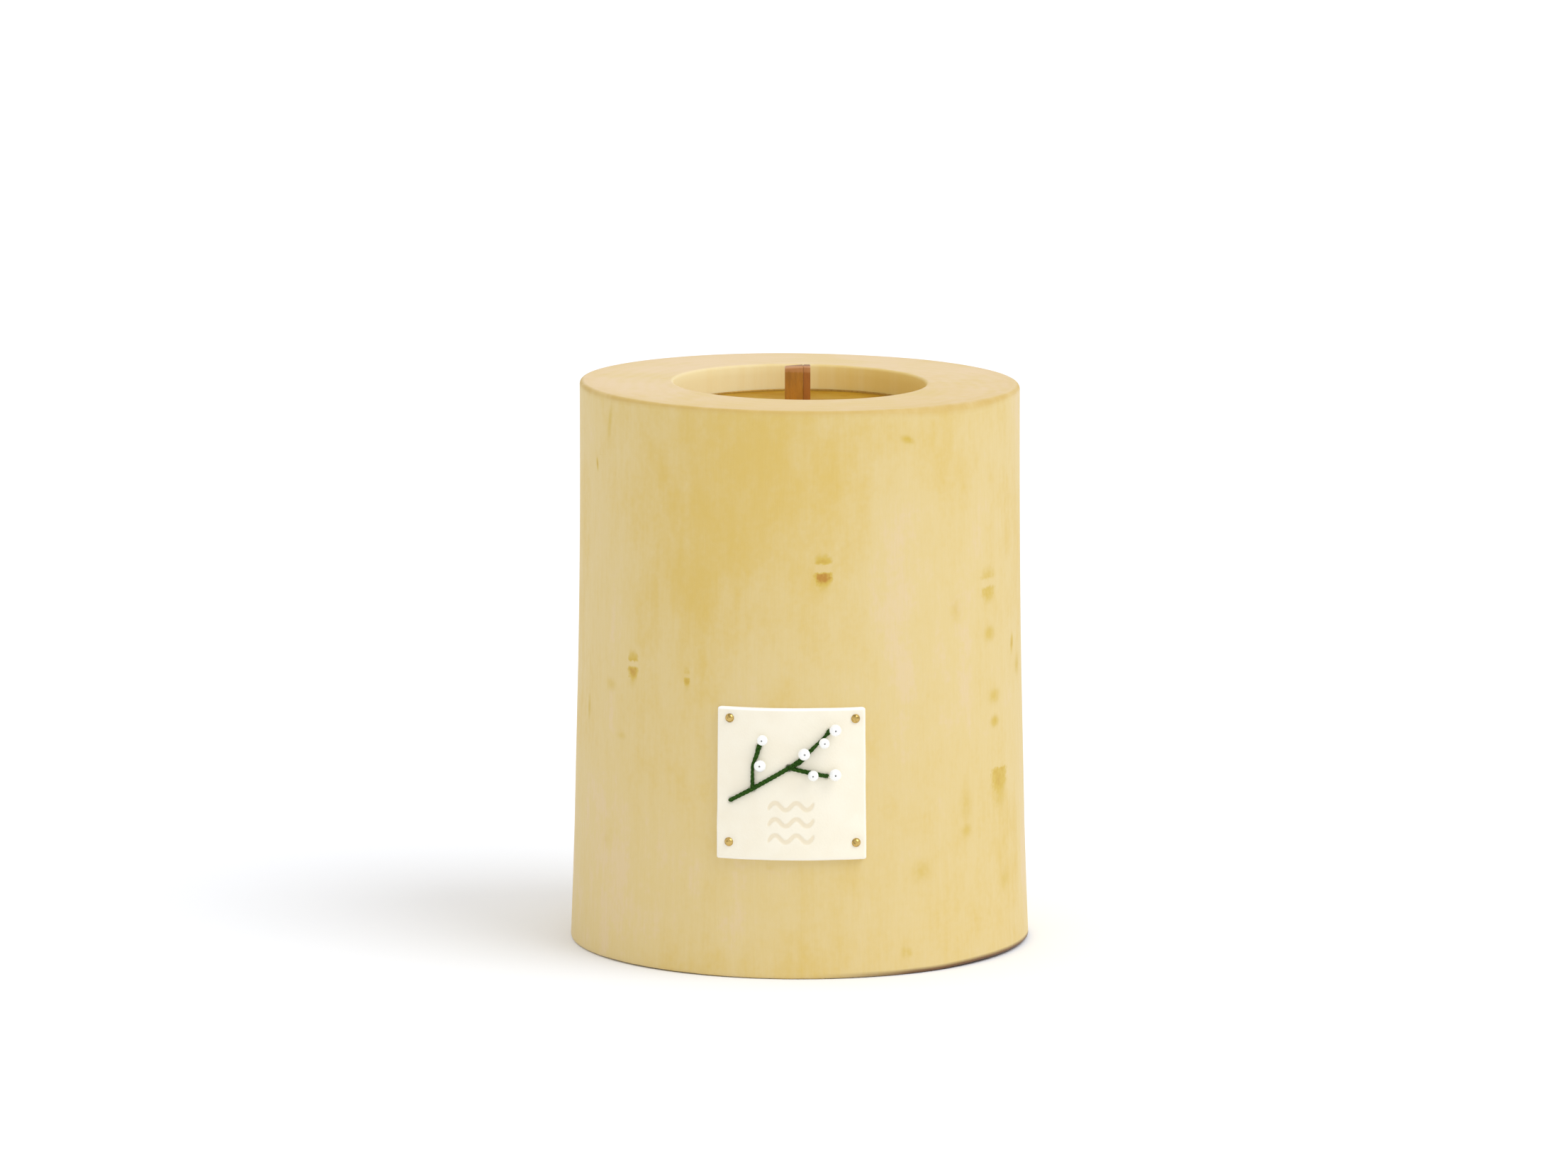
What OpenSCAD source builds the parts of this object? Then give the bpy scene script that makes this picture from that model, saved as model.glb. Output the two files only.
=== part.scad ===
// Log candle holder: a debarked log with a blind bore for a candle in a metal cup, and a leather
// plaque pinned to its front with a stitched sprig and seven beads.
// The log stands on z = 0 with its axis on the Z axis, and the plaque faces -Y. Millimetres.

/* [Log] */
// Height of the log
log_h = 132.5; // [110:0.5:160]
// Radius of the log at its top
log_top_r = 51.8; // [46:0.1:60]
// How much wider the base is than the top, on the radius
log_flare = 2.6; // [0:0.1:5]
// How late the flare starts: a higher power keeps the upper part straighter
flare_power = 2.2; // [1.5:0.1:3]
// Rounding of the top edge
top_edge_r = 1.4; // [0.5:0.1:3]
// Chamfer of the bottom edge
base_edge = 0.6; // [0.2:0.1:2]

/* [Candle bore] */
// Diameter of the blind bore
bore_d = 60; // [50:0.5:66]
// Depth of the bore below the top of the log
bore_depth = 31.5; // [26:0.5:60]
// Chamfer of the bore's mouth
bore_edge = 0.5; // [0.2:0.1:1.5]

/* [Candle] */
// Outer diameter of the metal cup
cup_d = 59.2; // [48:0.1:65]
// Thickness of the cup's wall and floor
cup_wall = 0.4; // [0.2:0.1:1]
// Depth of the wax surface below the top of the log
wax_drop = 6.5; // [2:0.5:15]
// How far the cup's rim stands above the wax
cup_lip = 0.55; // [0.1:0.05:3]
// Gap between the cup's underside and the floor of the bore
cup_gap = 0.05; // [0.02:0.01:0.3]

/* [Wick] */
// Width of the main wick strip
wick_w = 4.3; // [3:0.1:8]
// Width of the narrow booster strip beside it
booster_w = 1.7; // [0.8:0.1:3]
// Thickness of both strips
wick_t = 1.5; // [0.8:0.1:3]
// How far the wick stands above the wax
wick_proud = 10.5; // [4:0.5:14]
// Offset of the wick from the bore's axis, towards the right
wick_x = -0.5; // [-4:0.1:4]
// Length and width of the clip's base plate
clip_l = 18; // [10:0.5:24]
clip_w = 9; // [6:0.5:14]
// Thickness of the clip's sheet
clip_t = 0.4; // [0.3:0.1:0.8]
// Height of the clip's jaws
clip_h = 6; // [4:0.5:12]

/* [Plaque] */
// Side of the square plaque, along the curve and upwards
plaque_side = 35.5; // [25:0.5:45]
// Thickness of the leather
plaque_t = 1.6; // [0.8:0.1:3]
// Height of the plaque's centre above the table
plaque_z = 45.9; // [35:0.1:80]
// Turn of the plaque's centre about the log, towards the right
plaque_turn = -2.2; // [-20:0.1:20]
// Rounding of the plaque's outer edges
plaque_edge = 0.6; // [0.2:0.1:0.8]

/* [Pins] */
// Distance between neighbouring pins, both ways
pin_pitch = 29; // [20:0.5:30]
// How far the four pins sit to the right of the plaque's centre
pin_aside = 0.3; // [-1:0.1:1]
// How far the four pins sit above the plaque's centre
pin_rise = 0.7; // [-1:0.1:1]
// Diameter and height of the domed head
pin_head_d = 2.1; // [1.5:0.1:4]
pin_head_h = 0.75; // [0.4:0.05:1]
// Diameter and length of the shank
pin_d = 1; // [0.7:0.1:1.4]
pin_l = 10; // [6:0.5:16]

/* [Sprig] */
// Thickness of the green stem cord
cord_d = 1.1; // [0.6:0.05:1.8]
// Diameter of the three small beads
small_bead = 2.5; // [2:0.1:3]
// Diameter of the four large beads
large_bead = 2.8; // [2:0.1:3.5]
// Hole through each bead
bead_hole_d = 0.6; // [0.3:0.1:0.9]

/* [Hidden] */

$fn = 96;
eps = 0.01;
fit_gap = 0.02;
round_steps = 5;

bore_floor = log_h - bore_depth;
cup_base = bore_floor + cup_gap;
wax_base = cup_base + cup_wall;
wax_top = log_h - wax_drop;
wick_base = wax_base + clip_t + fit_gap;
wick_top = wax_top + wick_proud;
wick_left = wick_x - (wick_w + booster_w) / 2;

// The plaque lies on a straight cone band of the log, a little taller than itself
plaque_lo = plaque_z - plaque_side / 2;
plaque_hi = plaque_z + plaque_side / 2;
seat_lo = plaque_lo - 1;
seat_hi = plaque_hi + 1;
plaque_span = plaque_side / (log_r(plaque_z) + plaque_t / 2) * 180 / PI;

// The sprig is drawn by hand on half-millimetre squares: distance right and up from the
// plaque's centre
fork = [-0.5, 4];
left_joint = [-9, -1];
main_stem = [[-14.5, -4], left_joint, fork];
left_twig = [left_joint, [-9, 4.5], [-8, 7], [-7.5, 9]];
upper_shoot = [fork, [2, 5.5], [4.5, 8], [7.5, 11], [9, 12.5]];
right_twig = [fork, [4, 3], [8.5, 2]];
stems = [main_stem, left_twig, upper_shoot, right_twig];
// Where one stem meets another, its end stops short of the other's side
stem_setback = cord_d * 0.9;

// Radius of the log's natural flare at height z
function log_r(z) = log_top_r + log_flare * pow(1 - z / log_h, flare_power);
// Radius of the straight band under the plaque
function seat_r(z) = log_r(seat_lo)
    + (log_r(seat_hi) - log_r(seat_lo)) * (z - seat_lo) / (seat_hi - seat_lo);
seat_lean = atan2(seat_r(seat_lo) - seat_r(seat_hi), seat_hi - seat_lo);

// A point of the plaque's face: right u, up v, and out h from the leather
function skin_turn(u) = plaque_turn + u / (log_r(plaque_z) + plaque_t) * 180 / PI;
function skin_out(u) = [sin(skin_turn(u)), -cos(skin_turn(u)), 0];
function skin_point(u, v, h) = (seat_r(plaque_z + v) + plaque_t + h) * skin_out(u)
    + [0, 0, plaque_z + v];

// Distance from point p to the segment from a to b, all on the plaque
function along(p, a, b) = max(0, min(1, (p - a) * (b - a) / ((b - a) * (b - a))));
function seg_dist(p, a, b) = norm(p - a - along(p, a, b) * (b - a));
function stem_dist(p) = min([for (s = stems) for (i = [1 : len(s) - 1]) seg_dist(p, s[i - 1], s[i])]);

// Height of a bead's centre above the leather: it rests on the leather or on the stem beside it
cord_h = cord_d / 2 + 0.08;
function bead_h(p, d) =
    let (reach = (d + cord_d) / 2 + 0.03, off = stem_dist(p))
    max(d / 2 + 0.03, off < reach ? cord_h + sqrt(reach * reach - off * off) : 0);

// The points of a stem, with its first one set back and a midpoint in each stretch
function set_back(s, by) = s[0] + by * (s[1] - s[0]) / norm(s[1] - s[0]);
function with_midpoints(s) = [for (i = [0 : len(s) - 1])
    each (i == 0 ? [s[0]] : [(s[i - 1] + s[i]) / 2, s[i]])];
function stem_path(s, by) = with_midpoints(
    [for (i = [0 : len(s) - 1]) i == 0 ? set_back(s, by) : s[i]]);

// Places its children on the log: z out of the surface, y up it, x to the right
module on_log(turn, z, h = 0) {
    rotate([0, 0, turn])
        translate([0, -seat_r(z), z])
            rotate([90 - seat_lean, 0, 0])
                translate([0, 0, h])
                    children();
}

// Places its children at one of the four pins
module at_pin(side, level) {
    on_log(skin_turn(pin_aside + side * pin_pitch / 2), plaque_z + pin_rise + level * pin_pitch / 2)
        children();
}

// A cord swept along points of the plaque, with flat ends
module stem(s, by) {
    path = stem_path(s, by);
    last = len(path) - 1;
    sides = 10;
    centres = [for (p = path) skin_point(p[0], p[1], cord_h)];
    rings = [for (i = [0 : last])
        let (run = centres[min(i + 1, last)] - centres[max(i - 1, 0)],
             out = skin_out(path[i][0]),
             side = cross(run / norm(run), out))
        for (k = [0 : sides - 1])
            centres[i] + cord_d / 2 * (cos(360 * k / sides) * side + sin(360 * k / sides) * out)];
    walls = [for (i = [0 : last - 1]) for (k = [0 : sides - 1])
        let (n = (k + 1) % sides)
        [i * sides + k, (i + 1) * sides + k, (i + 1) * sides + n, i * sides + n]];
    start = [for (k = [0 : sides - 1]) k];
    end = [for (k = [0 : sides - 1]) last * sides + sides - 1 - k];
    color("darkgreen")
        polyhedron(points = rings, faces = concat(walls, [start, end]));
}

module bead(p, d) {
    color("white")
        on_log(skin_turn(p[0]), plaque_z + p[1], plaque_t + bead_h(p, d))
            difference() {
                sphere(d = d);
                cylinder(d = bead_hole_d, h = 2 * d, center = true);
            }
}

module pin(side, level) {
    cap_r = (pow(pin_head_d / 2, 2) + pow(pin_head_h, 2)) / (2 * pin_head_h);
    tip = 1.5 * pin_d;
    color("goldenrod")
        at_pin(side, level)
            translate([0, 0, plaque_t + fit_gap]) {
                intersection() {
                    translate([0, 0, pin_head_h - cap_r])
                        sphere(r = cap_r);
                    cylinder(d = pin_head_d + 1, h = pin_head_h + 1);
                }
                translate([0, 0, tip - pin_l])
                    cylinder(d = pin_d, h = pin_l - tip + eps);
                translate([0, 0, -pin_l])
                    cylinder(d1 = 0.1, d2 = pin_d, h = tip);
            }
}

// The holes that the four shanks fill, through the leather and into the log
module pin_holes() {
    for (side = [-1, 1])
        for (level = [-1, 1])
            at_pin(side, level)
                translate([0, 0, -pin_l])
                    cylinder(d = pin_d + 2 * fit_gap, h = pin_l + 2 * plaque_t);
}

module wood_body() {
    low_side = [for (i = [0 : 3]) let (z = base_edge + (seat_lo - base_edge) * i / 4) [log_r(z), z]];
    high_side = [for (i = [0 : 10])
        let (z = seat_hi + (log_h - top_edge_r - seat_hi) * i / 10)
        [log_r(z), z]];
    top_edge = [for (i = [1 : round_steps])
        let (a = 90 * i / round_steps)
        [log_top_r + top_edge_r * (cos(a) - 1), log_h + top_edge_r * (sin(a) - 1)]];
    side = concat(low_side, [[log_r(seat_lo), seat_lo]], high_side, top_edge);
    color("burlywood")
        difference() {
            rotate_extrude()
                polygon(concat([[0, 0], [log_r(0) - base_edge, 0]], side, [[0, log_h]]));
            translate([0, 0, bore_floor])
                cylinder(d = bore_d, h = bore_depth + 1);
            translate([0, 0, log_h - bore_edge])
                cylinder(d1 = bore_d, d2 = bore_d + 4 * bore_edge, h = 2 * bore_edge);
            pin_holes();
        }
}

module leather_plaque() {
    corner = plaque_edge * 1.3;
    lower = [for (i = [0 : round_steps])
        let (a = -90 + 90 * i / round_steps, z = plaque_lo + plaque_edge)
        [seat_r(z) + plaque_t + plaque_edge * (cos(a) - 1), z + plaque_edge * sin(a)]];
    upper = [for (i = [0 : round_steps])
        let (a = 90 * i / round_steps, z = plaque_hi - plaque_edge)
        [seat_r(z) + plaque_t + plaque_edge * (cos(a) - 1), z + plaque_edge * sin(a)]];
    back = [[seat_r(plaque_hi) + fit_gap, plaque_hi], [seat_r(plaque_lo) + fit_gap, plaque_lo]];
    color("ivory")
        difference() {
            rotate([0, 0, plaque_turn - 90 - plaque_span / 2])
                rotate_extrude(angle = plaque_span)
                    polygon(concat(lower, upper, back));
            pin_holes();
            for (side = [-1, 1])
                on_log(plaque_turn + side * plaque_span / 2, plaque_z, plaque_t)
                    rotate([0, 45, 0])
                        cube([corner, plaque_side + 4, corner], center = true);
        }
}

module candle_cup() {
    cup_h = wax_top + cup_lip - cup_base;
    color("gainsboro")
        translate([0, 0, cup_base])
            difference() {
                cylinder(d = cup_d, h = cup_h);
                translate([0, 0, cup_wall])
                    cylinder(d = cup_d - 2 * cup_wall, h = cup_h);
            }
}

// The space that the wick and its clip take up in the wax
module wick_pocket() {
    translate([wick_x - clip_l / 2 - fit_gap, -clip_w / 2 - fit_gap, wax_base - eps])
        cube([clip_l + 2 * fit_gap, clip_w + 2 * fit_gap, clip_t + fit_gap + eps]);
    translate([wick_left - fit_gap, -wick_t / 2 - clip_t - 2 * fit_gap, wax_base])
        cube([wick_w + booster_w + 2 * fit_gap, wick_t + 2 * clip_t + 4 * fit_gap, clip_h + fit_gap]);
    translate([wick_left - fit_gap, -wick_t / 2 - fit_gap, wax_base])
        cube([wick_w + booster_w + 2 * fit_gap, wick_t + 2 * fit_gap, wick_top]);
}

module candle_wax() {
    color("goldenrod")
        difference() {
            translate([0, 0, wax_base + fit_gap])
                cylinder(d = cup_d - 2 * cup_wall - 2 * fit_gap, h = wax_top - wax_base - fit_gap);
            wick_pocket();
        }
}

// The wick's two strips share a top that slopes down to the front
module strip(left, width) {
    slope = 0.6;
    translate([left, 0, 0])
        rotate([90, 0, 90])
            linear_extrude(width)
                polygon([[-wick_t / 2, wick_base], [wick_t / 2, wick_base],
                         [wick_t / 2, wick_top], [-wick_t / 2, wick_top - slope]]);
}

module wick_strip() {
    color("peru")
        strip(wick_left, wick_w - fit_gap);
}

module wick_booster() {
    color("sienna")
        strip(wick_left + wick_w, booster_w);
}

module wick_clip() {
    jaw_w = wick_w + booster_w;
    color("silver") {
        translate([wick_x - clip_l / 2, -clip_w / 2, wax_base + fit_gap / 2])
            cube([clip_l, clip_w, clip_t]);
        for (side = [-1, 1])
            translate([wick_left, side * (wick_t / 2 + clip_t / 2 + fit_gap) - clip_t / 2,
                       wax_base + clip_t / 2])
                cube([jaw_w, clip_t, clip_h - clip_t / 2]);
    }
}

wood_body();
leather_plaque();
pin(-1, 1);  // pin_top_left
pin(1, 1);  // pin_top_right
pin(-1, -1);  // pin_bottom_left
pin(1, -1);  // pin_bottom_right
stem(main_stem, 0);  // stem_main
stem(left_twig, stem_setback);  // stem_left_twig
stem(upper_shoot, stem_setback);  // stem_upper_shoot
stem(right_twig, stem_setback * 2);  // stem_right_twig
bead([-6.5, 10.5], small_bead);  // bead_left_tip
bead([-7, 4.5], large_bead);  // bead_left_low
bead([3, 7.5], large_bead);  // bead_shoot_low
bead([7.5, 10], small_bead);  // bead_shoot_mid
bead([10, 13], large_bead);  // bead_shoot_tip
bead([5, 2.5], small_bead);  // bead_twig_mid
bead([10, 2.5], large_bead);  // bead_twig_tip
candle_cup();
candle_wax();
wick_strip();
wick_booster();
wick_clip();
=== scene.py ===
import math
import random

import bmesh
import bpy
from bpy.props import FloatProperty, FloatVectorProperty, IntProperty, PointerProperty
from mathutils import Matrix, Vector, noise


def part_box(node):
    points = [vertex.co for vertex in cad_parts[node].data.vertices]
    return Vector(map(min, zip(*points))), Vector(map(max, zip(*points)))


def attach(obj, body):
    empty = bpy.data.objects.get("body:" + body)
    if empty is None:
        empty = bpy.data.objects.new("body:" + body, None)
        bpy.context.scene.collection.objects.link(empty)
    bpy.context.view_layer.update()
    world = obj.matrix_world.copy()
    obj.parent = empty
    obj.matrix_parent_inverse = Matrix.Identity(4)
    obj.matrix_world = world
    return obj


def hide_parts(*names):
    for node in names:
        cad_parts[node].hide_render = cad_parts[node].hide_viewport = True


bl_info = {
    "name": "Log candle holder",
    "version": (1, 0, 0),
    "blender": (4, 5, 0),
    "location": "3D View > Sidebar > Log Candle",
    "description": "Builds a bored log candle holder with a beaded leather plaque round its packed frame",
    "category": "Add Mesh",
}

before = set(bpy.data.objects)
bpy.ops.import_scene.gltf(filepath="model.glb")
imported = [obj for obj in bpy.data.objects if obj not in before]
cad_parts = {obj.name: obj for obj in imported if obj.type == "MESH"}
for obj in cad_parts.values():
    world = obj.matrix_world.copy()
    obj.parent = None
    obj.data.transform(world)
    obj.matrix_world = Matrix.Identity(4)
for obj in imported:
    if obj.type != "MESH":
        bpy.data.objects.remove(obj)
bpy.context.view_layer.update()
MM = 0.001

# Places and sizes that the frame settles
LOG_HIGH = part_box("wood_body")[1]
CUP_LOW, CUP_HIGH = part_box("candle_cup")
WAX_LOW, WAX_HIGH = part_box("candle_wax")
STRIP_LOW, STRIP_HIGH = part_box("wick_strip")
BOOSTER_LOW, BOOSTER_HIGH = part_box("wick_booster")
CLIP_LOW, CLIP_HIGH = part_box("wick_clip")
PLAQUE_LOW, PLAQUE_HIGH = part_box("leather_plaque")
PINS = ["pin_top_left", "pin_top_right", "pin_bottom_left", "pin_bottom_right"]
BEADS = ["bead_left_tip", "bead_left_low", "bead_shoot_low", "bead_shoot_mid",
         "bead_shoot_tip", "bead_twig_mid", "bead_twig_tip"]
CUP_R = (CUP_HIGH.x - CUP_LOW.x) / 2
LOG_H = LOG_HIGH.z
BASE_R = LOG_HIGH.x
PLAQUE_Z = (PLAQUE_LOW.z + PLAQUE_HIGH.z) / 2
PLAQUE_SIDE = PLAQUE_HIGH.z - PLAQUE_LOW.z
SEAT_LOW = PLAQUE_LOW.z - 1 * MM
SEAT_HIGH = PLAQUE_HIGH.z + 1 * MM


def middle(node):
    """The centre of a node's box."""
    low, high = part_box(node)
    return (low + high) / 2


def polar(radius, turn, z):
    """The point at a radius, at an angle from the front towards the right, and at a height."""
    return Vector((radius * math.sin(turn), -radius * math.cos(turn), z))


def turn_of(point):
    """A point's angle about the log, from the front towards the right."""
    return math.atan2(point.x, -point.y)


def turn_gap(turn, goal):
    """The signed angle from goal to turn, the short way round."""
    return (turn - goal + math.pi) % (2 * math.pi) - math.pi


FACE_R = -PLAQUE_LOW.y
PLAQUE_TURN = (math.asin(PLAQUE_LOW.x / FACE_R) + math.asin(PLAQUE_HIGH.x / FACE_R)) / 2


# ---------------------------------------------------------------- settings


def length(name, description, default):
    """A length property, given in millimetres and kept in metres."""
    return FloatProperty(name=name, description=description, default=default * MM, unit="LENGTH",
                         precision=5)


def colour(name, description, default):
    """A colour property, given as the eye reads it and kept as linear light."""
    linear = [(c / 255 / 12.92) if c <= 10 else ((c / 255 + 0.055) / 1.055) ** 2.4 for c in default]
    return FloatVectorProperty(name=name, description=description, default=linear, size=3,
                               subtype="COLOR", min=0, max=1)


class LogSettings(bpy.types.PropertyGroup):
    top_radius: length("Top radius", "Radius of the log at its top, from side to side", 51.8)
    flare_power: FloatProperty(name="Flare power", description="How late the flare starts", default=2.2)
    top_depth: FloatProperty(name="Top depth", description="Depth of the top as a share of its width",
                             default=0.948, min=0.8, max=1.2)
    top_tilt: FloatProperty(name="Top tilt", description="Tilt of the sawn top, its left side higher",
                            default=math.radians(0.6), subtype="ANGLE")
    top_edge: length("Top edge", "Rounding of the sanded top edge", 1.3)
    lobes: length("Lobes", "Height of the soft swellings of the trunk", 0.22)
    foot_lift: length("Foot lift", "How far the sawn foot clears the table on its worst side", 0.5)
    pale: colour("Pale wood", "The lightest sapwood", (219, 196, 138))
    ochre: colour("Ochre wood", "The deepest yellow of the sapwood", (214, 184, 101))
    rosy: colour("Rosy wood", "The pinkish, drier sapwood", (221, 197, 151))
    # Painted shade: the bore's wall is pale on its left, which the light from the right reaches, and deeper
    # on its right, which lies in shade
    wall_lit: colour("Pale bore wall", "The bore's wall on its left", (248, 234, 186))
    wall_shaded: colour("Deep bore wall", "The bore's wall on its right", (236, 206, 120))
    end_grain: colour("End grain", "The sawn top", (225, 201, 164))
    knot: colour("Knot", "The brown of the bud marks", (182, 128, 48))
    stain: colour("Stain", "The yellow-brown round the bud marks", (206, 176, 80))
    edge_line: colour("Edge line", "The darker line along the top edge", (204, 172, 98))
    # Painted shade: dark brown for the shadowed gap under the foot's lifted rim, painted on the rim itself
    foot_gap_shade: colour("Grime", "The damp-stained rim of the foot", (104, 68, 42))


class PlaqueSettings(bpy.types.PropertyGroup):
    thickness: length("Thickness", "Thickness of the leather", 1.6)
    edge: length("Edge", "Width of the bevelled edge", 0.4)
    corner: length("Corner", "Rounding of the four corners", 0.5)
    cells: IntProperty(name="Cells", description="Mesh cells along each side", default=176, min=40, max=200)
    motif_depth: length("Motif depth", "Depth of the pressed wavy lines", 0.14)
    motif_width: length("Motif width", "Width of a pressed line", 1.1)
    leather: colour("Leather", "The pearly white face", (245, 238, 219))
    # Whiter cut leather at the edges; along the top edge it is also a painted highlight of the light from
    # above
    cut: colour("Cut edge", "The whiter bevelled edge", (254, 253, 249))
    motif: colour("Motif", "The leather where it is pressed", (233, 219, 190))


class SprigSettings(bpy.types.PropertyGroup):
    cord: length("Cord", "Thickness of the stem thread", 1.08)
    plies: IntProperty(name="Plies", description="Strands in the thread", default=3, min=2, max=6)
    twist: length("Twist", "Length of one full turn of the strands", 3.2)
    thread: colour("Thread", "The dark green thread", (14, 52, 4))
    fuzz: colour("Thread light", "The lighter green of raised fibres", (88, 130, 40))
    bead: colour("Bead", "The white beads", (249, 249, 246))


class PinSettings(bpy.types.PropertyGroup):
    head: length("Head", "Diameter of a pin's domed head", 2.1)
    head_height: length("Head height", "Height of the dome", 0.75)
    shank: length("Shank", "Diameter of a pin's shank", 1.0)
    metal: colour("Brass", "The aged brass", (206, 174, 104))


class CandleSettings(bpy.types.PropertyGroup):
    wall: length("Cup wall", "Thickness of the cup's sheet", 0.4)
    lacquer: colour("Cup", "The cup's gold lacquer", (178, 140, 70))
    wax: colour("Wax", "The beeswax", (177, 134, 30))
    strip: colour("Wick", "The main wick strip", (192, 128, 34))
    booster: colour("Booster", "The darker strip", (176, 106, 34))
    tip: colour("Wick tip", "The waxed tip of both strips", (198, 138, 84))
    clip: colour("Clip", "The pressed steel clip", (190, 190, 192))


class StageSettings(bpy.types.PropertyGroup):
    distance: FloatProperty(name="Distance", description="Camera distance in front of the axis",
                            default=2.312, unit="LENGTH")
    height: FloatProperty(name="Height", description="Camera height", default=0.461, unit="LENGTH")
    aside: FloatProperty(name="Aside", description="Camera offset to the right", default=-0.0037,
                         unit="LENGTH", precision=4)
    pitch: FloatProperty(name="Pitch", description="How far the camera looks down",
                         default=math.radians(9.28), subtype="ANGLE")
    lens: FloatProperty(name="Lens", description="Focal length in millimetres", default=227.8)
    key: FloatProperty(name="Key light", description="Strength of the window light", default=1.13)
    fill: FloatProperty(name="Fill light", description="Strength of the white surroundings", default=0.88)


# ---------------------------------------------------------------- the log's shape


def smooth(edge0, edge1, value):
    """0 before edge0, 1 after edge1, and a smooth step between them."""
    t = max(0.0, min(1.0, (value - edge0) / (edge1 - edge0)))
    return t * t * (3 - 2 * t)


def flare(z):
    """Radius of the log at height z, straight where the plaque lies."""
    s = bpy.context.scene.log_candle_log
    wide = BASE_R - s.top_radius

    def natural(height):
        return s.top_radius + wide * (1 - min(max(height / LOG_H, 0), 1)) ** s.flare_power

    if SEAT_LOW < z < SEAT_HIGH:
        share = (z - SEAT_LOW) / (SEAT_HIGH - SEAT_LOW)
        return natural(SEAT_LOW) * (1 - share) + natural(SEAT_HIGH) * share
    return natural(z)


def log_skin(turn, z, out=0.0):
    """A point of the log's side, or out from it."""
    s = bpy.context.scene.log_candle_log
    around = polar(1, turn, 0)
    flat_turn, free_turn = 0.36, 0.6
    flat_rise, free_rise = 20 * MM, 34 * MM
    off_plaque = max(smooth(flat_turn, free_turn, abs(turn - PLAQUE_TURN)),
                     smooth(flat_rise, free_rise, abs(z - PLAQUE_Z)))
    swell = noise.noise(around * 1.4 + Vector((3.1, 0, z * 14))) * s.lobes * off_plaque
    radius = flare(z) + swell + out
    round_below = 66 * MM
    depth = 1 - (1 - s.top_depth) * smooth(round_below, LOG_H, z)
    return Vector((around.x * radius, around.y * radius * depth, z))


def log_normal(turn, z):
    """The way out of the log's side."""
    step = 0.5 * MM
    across = log_skin(turn + 0.01, z) - log_skin(turn - 0.01, z)
    up = log_skin(turn, z + step) - log_skin(turn, z - step)
    return across.cross(up).normalized()


def plaque_point(u, v, out=0.0):
    """A point over the plaque's back: right u and up v from its centre, and out from the log."""
    z = PLAQUE_Z + v
    turn = PLAQUE_TURN + u / FACE_R
    return log_skin(turn, z) + log_normal(turn, z) * out


def pin_place(node):
    """A pin's place on the plaque, right and up from its centre."""
    centre = middle(node)
    return (turn_of(centre) - PLAQUE_TURN) * FACE_R, centre.z - PLAQUE_Z


# ---------------------------------------------------------------- mesh helpers


def linked(name, data):
    """A new object in the scene, at the origin."""
    made = bpy.data.objects.new(name, data)
    bpy.context.scene.collection.objects.link(made)
    return made


def softened(name, mesh, sharp_angle):
    """An object of a mesh, smooth but for the edges that turn more than an angle in degrees."""
    mesh.shade_smooth()
    mesh.set_sharp_from_angle(angle=math.radians(sharp_angle))
    return linked(name, mesh)


def piece(name, points, faces, sharp_angle=40):
    """A mesh object from points and faces, smooth but for its sharp edges."""
    mesh = bpy.data.meshes.new(name)
    mesh.from_pydata(points, [], faces)
    mesh.validate()
    return softened(name, mesh, sharp_angle)


def loft(rings):
    """Points and faces through rings of equal count, closed at both ends by a pole."""
    count = len(rings[0])
    points = [p for ring in rings for p in ring]
    faces = []
    for i in range(len(rings) - 1):
        for j in range(count):
            k = (j + 1) % count
            faces.append((i * count + j, i * count + k, (i + 1) * count + k, (i + 1) * count + j))
    for ring, start in ((rings[0], 0), (rings[-1], (len(rings) - 1) * count)):
        points.append(sum(ring, Vector()) / count)
        pole = len(points) - 1
        for j in range(count):
            k = (j + 1) % count
            faces.append((pole, start + k, start + j) if start == 0 else (pole, start + j, start + k))
    return points, faces


def ring(radius, z, count, centre=(0, 0)):
    """A level ring of points, from the front towards the right."""
    return [Vector((centre[0] + radius * math.sin(2 * math.pi * j / count),
                    centre[1] - radius * math.cos(2 * math.pi * j / count), z)) for j in range(count)]


def turned(name, profile, count):
    """A turned piece: the profile's (radius, height) points run from its foot out, up and in."""
    return piece(name, *loft([ring(r, z, count) for r, z in profile]))


def arc(centre_r, centre_z, radius, start, end, steps):
    """Profile points along a round corner, by angle in degrees from outwards to up."""
    return [(centre_r + radius * math.cos(math.radians(start + (end - start) * i / steps)),
             centre_z + radius * math.sin(math.radians(start + (end - start) * i / steps)))
            for i in range(steps + 1)]


def point_layers(mesh, **layers):
    """Stores named layers on a mesh, each with one number or one vector for every point."""
    for name, values in layers.items():
        if isinstance(values[0], (float, int)):
            mesh.attributes.new(name, "FLOAT", "POINT").data.foreach_set("value", values)
        else:
            flat = [part for value in values for part in value]
            mesh.attributes.new(name, "FLOAT_VECTOR", "POINT").data.foreach_set("vector", flat)


def nearest_mark(turn, z, marks, tail):
    """The nearest mark, the place in its own half sizes, and whether the mark reaches there.
    A mark reaches some half sizes and a margin in millimetres beyond; its tail, below, is longer."""
    reach_sizes, margin, mean_share = 2.3, 1.4, 0.96
    best, best_place, best_reach = None, None, math.inf
    for mark in marks:
        place, height, half_width, half_height, tilt = mark[:5]
        across = turn_gap(turn, math.radians(place)) * BASE_R / MM * mean_share
        rise = z / MM - height
        lean = math.radians(tilt)
        u = (across * math.cos(lean) + rise * math.sin(lean)) / half_width
        v = (rise * math.cos(lean) - across * math.sin(lean)) / half_height
        wide = reach_sizes + margin / half_width
        tall = (tail if v < 0 else reach_sizes) + margin / half_height
        reach = math.hypot(u / wide, v / tall)
        if reach < best_reach:
            best, best_place, best_reach = mark, (u, v), reach
    return best, best_place, best_reach < 1


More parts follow.
